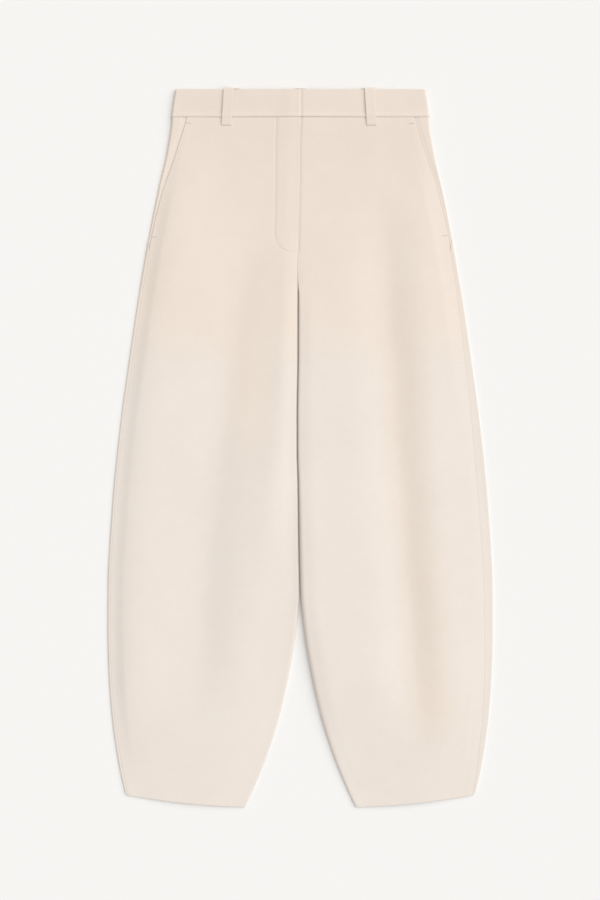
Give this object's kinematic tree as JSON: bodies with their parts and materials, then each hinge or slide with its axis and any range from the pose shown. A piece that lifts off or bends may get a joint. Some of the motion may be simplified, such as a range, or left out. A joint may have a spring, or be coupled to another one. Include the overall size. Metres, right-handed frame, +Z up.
{
  "type": "trousers",
  "caption": "High-waisted wool trousers with full barrel-shaped legs, slanted side pockets, a fly front and belt loops, laid flat.",
  "frame": {"origin": "on the surface it lies on, under the middle of the garment's outline", "axes": "+Y from the hems to the waist, +Z up out of the front, +X towards the wearer's left"},
  "size_m": [0.5698, 1.0632, 0.0146],
  "materials": {
    "wool": "cream double-faced wool, softly felted, with a short nap"
  },
  "bodies": {
    "root": {"front_right": "wool", "front_left": "wool", "back_right": "wool", "back_left": "wool", "waistband_right": "wool", "waistband_left": "wool", "pocket_facing_right": "wool", "pocket_facing_left": "wool", "fly_facing": "wool", "belt_loop_front_right": "wool", "belt_loop_front_left": "wool", "belt_loop_back_right": "wool", "belt_loop_back_centre": "wool", "belt_loop_back_left": "wool"}
  },
  "joints": []
}
